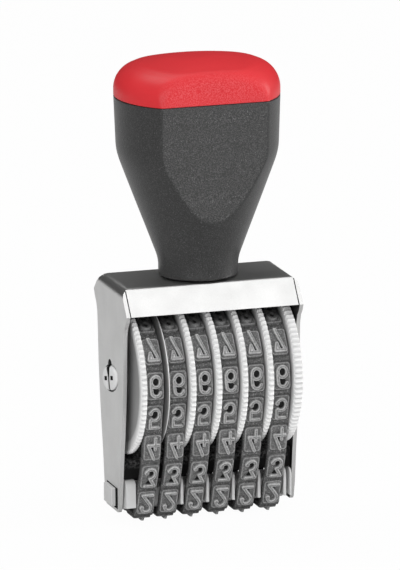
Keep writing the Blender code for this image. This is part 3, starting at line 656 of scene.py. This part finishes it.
def stationRelief(x, along, figure):
    # Height above the belt: a round-cornered pad, and on it the figure's strokes with sloped sides. Lift is 0 on
    # the belt, half on the pad and 1 on the figure. Edge is a painted highlight, 1 at the rims of the strokes, and
    # the painted shade grows where strokes stand close around a point
    size = band
    fromX = np.abs(x) - size["padWidth"] / 2 + size["padCorner"]
    fromY = np.abs(along) - size["padLength"] / 2 + size["padCorner"]
    cornerDistance = np.hypot(np.maximum(fromX, 0), np.maximum(fromY, 0))
    inside = size["padCorner"] - cornerDistance - np.minimum(np.maximum(fromX, fromY), 0)
    pad = smoothStep(inside, 0, size["padSlope"])
    rim = smoothStep(inside, *padRim["rise"]) * (1 - smoothStep(inside, *padRim["end"]))
    height = size["padHeight"] * pad - padRim["drop"] * (1 - rim) * smoothStep(inside, *padRim["dropSlope"])
    stroke = np.zeros(x.shape)
    edge = padRim["edge"] * rim
    hollow = padRim["hollow"] * (1 - smoothStep(np.abs(inside), *padRim["hollowReach"]))
    if figure:
        # The figure is mirrored: its top points back to the shoe
        away = strokeDistance(x, -along, figure)
        stroke = 1 - np.clip((away - size["strokeTop"]) / (size["strokeFoot"] - size["strokeTop"]), 0, 1)
        edge = np.maximum(edge, bell(away, size["strokeTop"], strokeRim["edge"]))
        # Painted shade in low places that strokes close in, and at the foot of each stroke's side
        closed = enclosure(stroke, x[0, 1] - x[0, 0], size["pitch"] / size["perStation"])
        foot = strokeRim["footShade"] * bell(away, size["strokeFoot"], strokeRim["foot"])
        if figure in shadeMarks:
            across, up, reach, change = shadeMarks[figure]
            far = np.hypot(x / size["figureWidth"] - across / 2,
                           (-along - up * size["figureHeight"] / 2) / size["figureWidth"])
            closed = closed + change * smoothStep(far, reach, reach * 0.4)
        hollow = np.maximum(hollow, smoothStep(closed, *strokeRim["closed"]) + foot) * (1 - stroke) ** 2
    return height + size["relief"] * stroke, 0.5 * pad + 0.5 * stroke, edge, hollow


def bandGrid():
    # Closed belt on a grid: rows run along the loop, columns round the section, out over the figures, down the
    # side, in over the ribs and back. Pads keep flat: a point slides from the curved path to its station's tangent
    size = band
    rows = size["stations"] * size["perStation"]
    distance = np.arange(rows) * size["pitch"] / size["perStation"]
    station = np.floor(distance / size["pitch"] + 0.5).astype(int)
    along = distance - station * size["pitch"]
    half = size["width"] / 2
    x = np.linspace(-half + size["outerInset"], half - size["outerInset"], size["across"])
    span = np.roll(along[:size["perStation"]], size["perStation"] // 2)
    acrossX, alongY = np.meshgrid(x, span, indexing="xy")
    relief = np.zeros((4, rows, size["across"]))
    for number in range(size["stations"]):
        figure = stationFigures[number] if number < len(stationFigures) else ""
        start = number * size["perStation"] - size["perStation"] // 2
        index = np.arange(start, start + size["perStation"]) % rows
        relief[:, index] = stationRelief(acrossX, alongY, figure)
    height, lift, edge, hollow = relief
    point, _, out = bandPath(distance + size["advance"])
    station = station % size["stations"]
    middle, middleTangent, middleOut = bandPath(station * size["pitch"] + size["advance"])
    rigid = middle + middleTangent * along[:, None]
    # Blank pads and the one at the shoe flex with the path, and the others keep flat
    stiff = np.where((station < 1) | (station >= len(stationFigures)), 0.2, 1.0)[:, None]
    amount = (np.clip(height / size["padHeight"], 0, 1) * stiff)[..., None]
    base = point[:, None] * (1 - amount) + rigid[:, None] * amount
    normal = out[:, None] * (1 - amount) + middleOut[:, None] * amount
    outer = base + normal * (size["halfThickness"] + height)[..., None]
    outerX = np.broadcast_to(x, height.shape)
    rib = np.abs(np.mod(distance, size["pitch"]) - size["pitch"] / 2)
    ribSlope = (size["ribFoot"] - size["ribTip"]) / 2
    ribRise = size["ribHeight"] * (1 - np.clip((rib - size["ribTip"] / 2) / ribSlope, 0, 1))
    sideOut = np.array([size["sideHalf"], -size["sideHalf"]])
    sides = point[:, None] + out[:, None] * sideOut[None, :, None]
    innerX = np.linspace(half - size["innerInset"], -half + size["innerInset"], size["innerColumns"])
    inner = (point - out * (size["halfThickness"] + ribRise)[:, None])[:, None]
    inner = np.broadcast_to(inner, (rows, len(innerX), 2))
    profile = np.concatenate([outer, sides, inner, sides[:, ::-1]], 1)
    acrossAll = np.concatenate([outerX, np.full((rows, 2), half), np.broadcast_to(innerX, (rows, len(innerX))),
                                np.full((rows, 2), -half)], 1)
    points = np.concatenate([acrossAll[..., None], profile], -1)
    # Painted shade high up under the skirt, which also takes the painted highlights away there, and painted shade
    # makes the sides and the inner face the darkest rubber
    skirtShade = smoothStep(outer[..., 1], size["skirtShadeFrom"], size["skirtShadeTo"])
    hollow = np.maximum(hollow, 0.85 * skirtShade)
    edge = edge * (1 - skirtShade)
    plain = np.zeros((rows, profile.shape[1] - size["across"]))
    return points, {name: np.concatenate([values, plain + side], 1)
                    for name, values, side in (("lift", lift, 0), ("edge", edge, 0), ("hollow", hollow, 0.6))}


bandPoints, bandValues = bandGrid()
for number, place in enumerate(bandPlaces, start=1):
    mesh = gridMesh(f"numberBand{number}", bandPoints + np.array([place, 0, 0]), wrapRows=True, **bandValues)
    addPiece(f"figure_band_{number}", mesh, rubberBandFinish, "frame", "band_rubber", f"number_band_{number}")
print("bands made")


wheel = {"bore": 2.4 * mm, "hubRadius": 11.8 * mm, "hubNotch": 0.9 * mm, "hubGap": 0.3 * mm, "notchWidth": 0.09,
         "notchTop": 1.6, "notchFall": 0.8,
         "radius": 15.46 * mm, "knurls": 88, "knurlDepth": 0.62 * mm, "knurlPower": 1.2, "knurlShade": 0.24,
         "rimExtra": {6: 0.6 * mm}, "disc": 1.2 * mm, "channel": 4.2 * mm, "bevelAcross": 0.36 * mm,
         "bevelDown": 0.75 * mm, "channelRim": 2.4 * mm, "outerRim": 2.2 * mm, "dishEdge": 2.6 * mm,
         "dish": 0.15 * mm, "boss": (5.2 * mm, 4.8 * mm, 3.0 * mm), "brightRim": (3.2 * mm, 1.2 * mm),
         "around": 1056}
sharpAngle = radians(50)


def roundAxle(across, radius, turn):
    # A section, across and radius, carried through the turns round the axle
    return np.stack([across + 0 * turn, radius * np.cos(turn), axleLevel + radius * np.sin(turn)], -1)


def wheelMesh(number, place):
    # A closed section carried round the axle. Each point is radius - notch * hub weight - knurl * rim weight;
    # a knurl is a rounded tooth, a power of |cos| of the turn, and a notch is a trapeze round each of 12 turns.
    # The rim's corners are quarter ellipses, and the teeth fade out over them
    size = wheel
    rim = size["radius"]
    inner = size["channel"] / 2
    side = inner + size["disc"]
    outer = side + size["rimExtra"].get(number, 0)
    fade = np.array([0, 0.1, 0.3, 0.55, 0.8, 1, 1, 1])
    bend = np.linspace(0, pi / 2, len(fade))
    slope = size["bevelAcross"] * (1 - np.cos(bend))
    drop = size["bevelDown"] * (1 - np.sin(bend))
    hubSide = inner - size["channel"] + size["hubGap"]
    across = np.concatenate([[hubSide, hubSide, inner, inner], inner + slope, outer - slope[::-1],
                             [outer, outer - size["dish"], side - size["dish"], side, side, side]])
    radius = np.concatenate([[size["bore"], size["hubRadius"], size["hubRadius"], rim - size["channelRim"]],
                             rim - drop, rim - drop[::-1],
                             [rim - size["outerRim"], rim - size["dishEdge"], *size["boss"], size["bore"]]])
    hub = np.zeros(len(across))
    hub[1:3] = 1
    knurl = np.zeros(len(across))
    knurl[4:4 + 2 * len(fade)] = np.concatenate([fade, fade[::-1]])
    across, radius, hub, knurl = (values[:, None] for values in (across, radius, hub, knurl))
    turn = fullTurn(size["around"])[None]
    tooth = np.abs(np.cos(turn * size["knurls"] / 2)) ** size["knurlPower"]
    phase = band["advance"] / band["radius"]
    notchStep = 2 * pi / band["wheelTeeth"]
    notch = np.mod(turn + phase, notchStep) - notchStep / 2
    fall = np.abs(notch) / (size["notchWidth"] / 2) * size["notchFall"]
    sunk = np.clip(size["notchTop"] - fall, 0, 1)
    radius = radius - hub * size["hubNotch"] * sunk - knurl * size["knurlDepth"] * (1 - tooth)
    flip = -1 if number == 1 else 1
    points = roundAxle(place + flip * across, radius, turn)
    # Painted shade: the side faces darken from the rim inwards and the knurls' troughs are darker; bright is 1
    # where none is painted
    brightFrom, brightTo = size["brightRim"]
    bright = smoothStep(radius, rim - brightFrom, rim - brightTo)
    bright = bright * (1 - size["knurlShade"] * knurl * (1 - tooth))
    return gridMesh(f"thumbWheel{number}", points, wrapRows=True, sharp=sharpAngle, bright=bright)


for number, place in enumerate(bandPlaces, start=1):
    addPiece(f"thumb_wheel_{number}", wheelMesh(number, place), wheelPlasticFinish, f"wheel_{number}",
             "white_plastic", f"number_wheel_{number}")
print("wheels made")


thinDisc = {"radius": 14.8 * mm, "bore": 2.4 * mm, "half": 0.3 * mm, "brightRim": (0.35 * mm, 0.05 * mm),
            "around": 256}


def thinDiscMesh():
    # A washer-like disc whose rim is a half circle in section. A painted highlight makes it bright on its right
    # side at the rim
    size = thinDisc
    bend = np.linspace(-pi / 2, pi / 2, 9)
    across = np.concatenate([[-size["half"]], size["half"] * np.sin(bend), [size["half"]]])[:, None]
    rim = size["radius"] - size["half"] * (1 - np.cos(bend))
    radius = np.concatenate([[size["bore"]], rim, [size["bore"]]])[:, None]
    turn = fullTurn(size["around"])[None]
    points = roundAxle((bandPlaces[0] + bandPlaces[1]) / 2 + across, radius, turn)
    brightFrom, brightTo = size["brightRim"]
    bright = (np.clip((across / size["half"] + 0.1) * 2, 0, 1)
              * smoothStep(radius, size["radius"] - brightFrom, size["radius"] - brightTo))
    return gridMesh("thinDisc", points, wrapRows=True, sharp=sharpAngle, bright=bright + 0 * turn)


addPiece("divider_disc", thinDiscMesh(), discFinish, "frame", "separator_plastic", "separator_disc")


def joinedMesh(name, parts, angle):
    # One mesh of several, with its edges sharp from an angle on
    shape = bmesh.new()
    for part in parts:
        shape.from_mesh(part)
        bpy.data.meshes.remove(part)
    mesh = bpy.data.meshes.new(name)
    shape.to_mesh(mesh)
    shape.free()
    mesh.set_sharp_from_angle(angle=angle)
    return mesh


pin = {"halfDepth": 4.9 * mm, "halfHeight": 2.5 * mm, "rise": 0.5 * mm, "tilt": radians(-13),
       "splitTop": 2.6 * mm, "splitFoot": 1.0 * mm, "pocketPlace": 2.1 * mm, "pocketWidth": 2.0 * mm,
       "pocketHeight": 0.85 * mm, "pocketDeep": 1.6 * mm, "flatness": 14, "shaftInset": 2 * mm,
       "radius": 2.1 * mm, "flangeRadius": 3.2 * mm, "flange": 0.5 * mm, "rings": 150, "around": 360}


def pinMesh():
    # The snap head is a flat button on a stretched round outline, its height (1 - share^14)^0.5, sunk where the
    # split and the two pockets run. A plain pin and its flange are turned round the axle's line
    size = pin
    low, high = lowHigh("axle")
    plate = plateLow[0]
    share = np.sin(np.linspace(0, pi / 2, size["rings"]))[:, None]
    turn = fullTurn(size["around"])[None]
    along = size["halfDepth"] * share * np.cos(turn)
    up = size["halfHeight"] * share * np.sin(turn)
    splitHalf = np.interp(up, (0, size["halfHeight"]), (size["splitFoot"] / 2, size["splitTop"] / 2))
    split = np.abs(along) < splitHalf
    inPocketLength = np.abs(np.abs(along) - size["pocketPlace"]) < size["pocketWidth"] / 2
    pocket = inPocketLength & (np.abs(up) < size["pocketHeight"] / 2)
    # Deep is 1 in the split and the pockets, where the finish paints shade
    deep = (split | pocket).astype(float)
    face = plate - size["rise"] * np.sqrt(1 - share ** size["flatness"]) + 0 * turn
    face = np.where(deep > 0, plate + size["pocketDeep"] - size["rise"], face)
    head = np.stack([face, along * math.cos(size["tilt"]) - up * math.sin(size["tilt"]),
                     axleLevel + along * math.sin(size["tilt"]) + up * math.cos(size["tilt"])], -1)
    back = head[-1:].copy()
    back[..., 0] = plate + size["rise"]
    middle = np.broadcast_to(np.array([plate + size["rise"], 0, axleLevel]), back.shape)
    headMesh = gridMesh("pinHead", np.concatenate([head, back, middle]),
                        deep=np.concatenate([deep, np.zeros((2, size["around"]))]))
    start = low[0] + size["shaftInset"]
    side = high[0] - size["flange"]
    across = np.array([start, start, side, side, high[0], high[0]])[:, None]
    radius = np.array([0, size["radius"], size["radius"], size["flangeRadius"], size["flangeRadius"], 0])[:, None]
    shaft = roundAxle(across, radius, turn)
    shaftMesh = gridMesh("pinShaft", shaft, deep=np.zeros(shaft.shape[:2]))
    return joinedMesh("pin", [headMesh, shaftMesh], sharpAngle)


addPiece("pin", pinMesh(), axlePlasticFinish, "frame", "white_plastic", "axle")


def mergedCopy(node, name):
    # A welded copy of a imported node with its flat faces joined, ready for a Bevel
    mesh = nodes[node].data.copy()
    mesh.name = name
    shape = bmesh.new()
    shape.from_mesh(mesh)
    bmesh.ops.remove_doubles(shape, verts=shape.verts, dist=0.001 * mm)
    bmesh.ops.dissolve_limit(shape, angle_limit=radians(0.5), verts=shape.verts, edges=shape.edges)
    shape.to_mesh(mesh)
    shape.free()
    mesh.shade_smooth()
    return mesh


spacer = {"front": 5.2 * mm, "rear": 1.0 * mm, "round": 0.25 * mm, "underWheels": 0.3 * mm, "below": 0.2 * mm,
          "ridgeHalf": 1.8 * mm, "ridgeFront": 4.0 * mm, "ridgeRear": 2.2 * mm, "ridgeRoot": 1 * mm,
          "sharpAngle": radians(40)}


def roundedPlan(halfAcross, halfUp, radius):
    # A closed rectangle with quarter-circle corners, round its middle
    bend = np.linspace(0, pi / 2, 5)
    turn = np.concatenate([bend + corner * pi / 2 for corner in range(4)])
    side = np.repeat([(1, 1), (-1, 1), (-1, -1), (1, -1)], len(bend), axis=0)
    return side * (halfAcross - radius, halfUp - radius) + radius * np.stack([np.cos(turn), np.sin(turn)], -1)


def barBlock(low, high, radius):
    # A box from corner to corner, rounded in the section that runs along X, with its ends closed to a point
    low, high = np.array(low), np.array(high)
    middle = (low + high) / 2
    plan = roundedPlan((high[1] - low[1]) / 2, (high[2] - low[2]) / 2, radius)
    return np.stack([np.concatenate([np.full((len(plan), 1), x), plan * grow + middle[1:]], 1)
                     for x, grow in ((low[0], 0), (low[0], 1), (high[0], 1), (high[0], 0))])


def spacerMesh():
    # The bar and its ridges are blocks of one mesh that reach into each other
    size = spacer
    low, high = lowHigh("guide_bar")
    barTop = axleLevel - wheel["radius"] - size["underWheels"]
    blocks = [barBlock((low[0], -size["front"], low[2] - size["below"]), (high[0], -size["rear"], barTop),
                       size["round"])]
    for place in bandPlaces:
        blocks.append(barBlock((place - size["ridgeHalf"], -size["ridgeFront"], barTop - size["ridgeRoot"]),
                               (place + size["ridgeHalf"], -size["ridgeRear"], high[2]), size["round"]))
    return joinedMesh("spacer", [gridMesh("block", block) for block in blocks], size["sharpAngle"])


# Width and number of steps of each bevel
softEdges = {"frame_sheet": (0.16 * mm, 3), "comb": (0.35 * mm, 4)}


def softenEdges(piece):
    step = piece.modifiers.new("Bevel", "BEVEL")
    step.width, step.segments = softEdges[piece.name]
    step.limit_method = "ANGLE"
    step.angle_limit = radians(38)
    piece.modifiers.new("WeightedNormal", "WEIGHTED_NORMAL").weight = 100


def markInside(mesh):
    # A face value of 1 where the sheet faces the middle of the frame, where the finish paints shade
    count = len(mesh.polygons)
    middles = np.empty(count * 3, np.float32)
    normals = np.empty(count * 3, np.float32)
    mesh.polygons.foreach_get("center", middles)
    mesh.polygons.foreach_get("normal", normals)
    outward = middles.reshape(-1, 3) - np.array([0, 0, axleLevel])
    facing = (outward * normals.reshape(-1, 3)).sum(1) < -1 * mm
    layer = mesh.attributes.new("inside", "FLOAT", "FACE")
    layer.data.foreach_set("value", facing.astype(np.float32))
    return mesh


softenEdges(addPiece("frame_sheet", markInside(mergedCopy("steel_frame", "frameSheet")), steelSheetFinish, "frame",
                     "plated_steel", "steel_frame"))
softenEdges(addPiece("comb", mergedCopy("bridge_comb", "comb"), combFinish, "frame", "bridge_plastic",
                     "bridge_comb"))
addPiece("spacer", spacerMesh(), guidePlasticFinish, "frame", "black_plastic", "guide_bar")
print("frame, comb and spacer made")

for node, finish in (("end_washer_left", nylonFinish), ("end_washer_right", nylonFinish),
                     ("handle_screw", zincSteelFinish), ("handle_washer", zincSteelFinish)):
    nodes[node].data.materials.clear()
    nodes[node].data.materials.append(finish)


view = {"place": (-0.498729, -1.620494, 0.439866), "azimuth": radians(17.118), "down": radians(13.051),
        "roll": radians(-0.441), "lens": 549.66, "sensor": 36, "reach": 20}


def addCamera():
    # The camera looks along its azimuth, tipped down and a little rolled
    turn, tip, roll = view["azimuth"], view["down"], view["roll"]
    ahead = Vector((math.sin(turn) * math.cos(tip), math.cos(turn) * math.cos(tip), -math.sin(tip)))
    right = Vector((math.cos(turn), -math.sin(turn), 0))
    up = right.cross(ahead)
    tilted = right * math.cos(roll) + up * math.sin(roll)
    upright = up * math.cos(roll) - right * math.sin(roll)
    data = bpy.data.cameras.new("camera")
    data.lens = view["lens"]
    data.sensor_width = view["sensor"]
    data.clip_end = view["reach"]
    made = addObject("camera", data)
    made.matrix_world = Matrix.Translation(view["place"]) @ Matrix((tilted, upright, -ahead)).transposed().to_4x4()
    bpy.context.scene.camera = made


addCamera()

studio = {"world": 0.46, "mirrored": 0.72, "floorHalf": 3.0, "floorLevel": -0.02 * mm, "floorGreys": (0.68, 0.65),
          "floorGlow": 0.97, "aim": (0, 0, 0.045),
          "lamps": (("key", 10.6, (-0.7, -1.3, 0.6), 0.9), ("rim", 6.0, (1.0, -0.3, 0.4), 0.4),
                    ("top", 1.0, (0.32, -0.5, 1.1), 0.5), ("sky", 6.0, (-0.3, 0.4, 1.3), 0.8)),
          "card": {"depth": 0.75, "across": (-1.6, 1.6), "up": (-0.1, 0.85), "level": 0.03}}


def addLamp(name, power, place, size):
    data = bpy.data.lights.new(name, "AREA")
    data.energy = power
    data.size = size
    made = addObject(name, data)
    made.location = place
    made.rotation_euler = (Vector(studio["aim"]) - Vector(place)).to_track_quat("-Z", "Y").to_euler()


def addFloor():
    # A pale floor that the camera sees as near white
    made, shader, start = newFinish("floorPaper", Roughness=0.9)
    pale, soiled = studio["floorGreys"]
    wire(start.noise(1.2 * mm, 3.0).blend(grey(pale), grey(soiled)), shader, "Base Color")
    seen = start.node("LightPath")
    white = start.node("Emission", {"Color": grey(1), "Strength": 1.0})
    plain = Signal(made.node_tree, shader.outputs[0])
    wireOutput(start.node("MixShader", {0: seen * studio["floorGlow"], 1: plain, 2: white}))
    ticks = np.linspace(-studio["floorHalf"], studio["floorHalf"], 5)
    across, deep = np.meshgrid(ticks, ticks)
    grid = np.stack([across, deep, np.full(across.shape, studio["floorLevel"])], -1)
    mesh = gridMesh("floor", grid, wrapColumns=False)
    if mesh.polygons[0].normal.z < 0:
        mesh.flip_normals()
    mesh.materials.append(made)
    floor = addObject("floor", mesh)


def addWorld():
    # Its level differs for plain light, for mirrors and for the camera
    world = bpy.data.worlds.new("studio")
    bpy.context.scene.world = world
    world.use_nodes = True
    start = Signal(world.node_tree, None)
    around, mirrored, seen = (start.node("Background", {"Color": grey(level)})
                              for level in (studio["world"], studio["mirrored"], 1.0))
    glossy = start.node("LightPath", output=3)
    camera = start.node("LightPath", output=0)
    mixed = start.node("MixShader", {0: glossy, 1: around, 2: mirrored})
    mixed = start.node("MixShader", {0: camera, 1: mixed, 2: seen})
    wireOutput(mixed, "World Output")


def addCard():
    # An upright dark card behind, which only the metal's reflections see
    size = studio["card"]
    made, _, start = newFinish("cardPaper")
    tone = start.noise(120 * mm, 2.0).blend(grey(size["level"]), grey(size["level"] * 2))
    glow = start.node("Emission", {"Color": tone, "Strength": 1.0})
    wireOutput(glow)
    across, up = np.meshgrid(np.linspace(*size["across"], 3), np.linspace(*size["up"], 3), indexing="ij")
    mesh = gridMesh("card", np.stack([across, np.full(across.shape, size["depth"]), up], -1), wrapColumns=False)
    mesh.materials.append(made)
    card = addObject("card", mesh)
    for ray in ("camera", "diffuse", "transmission", "volume_scatter", "shadow"):
        setattr(card, f"visible_{ray}", False)


addFloor()
addWorld()
for lamp in studio["lamps"]:
    addLamp(*lamp)
addCard()
bpy.context.scene.view_settings.view_transform = "Standard"
print("studio made")
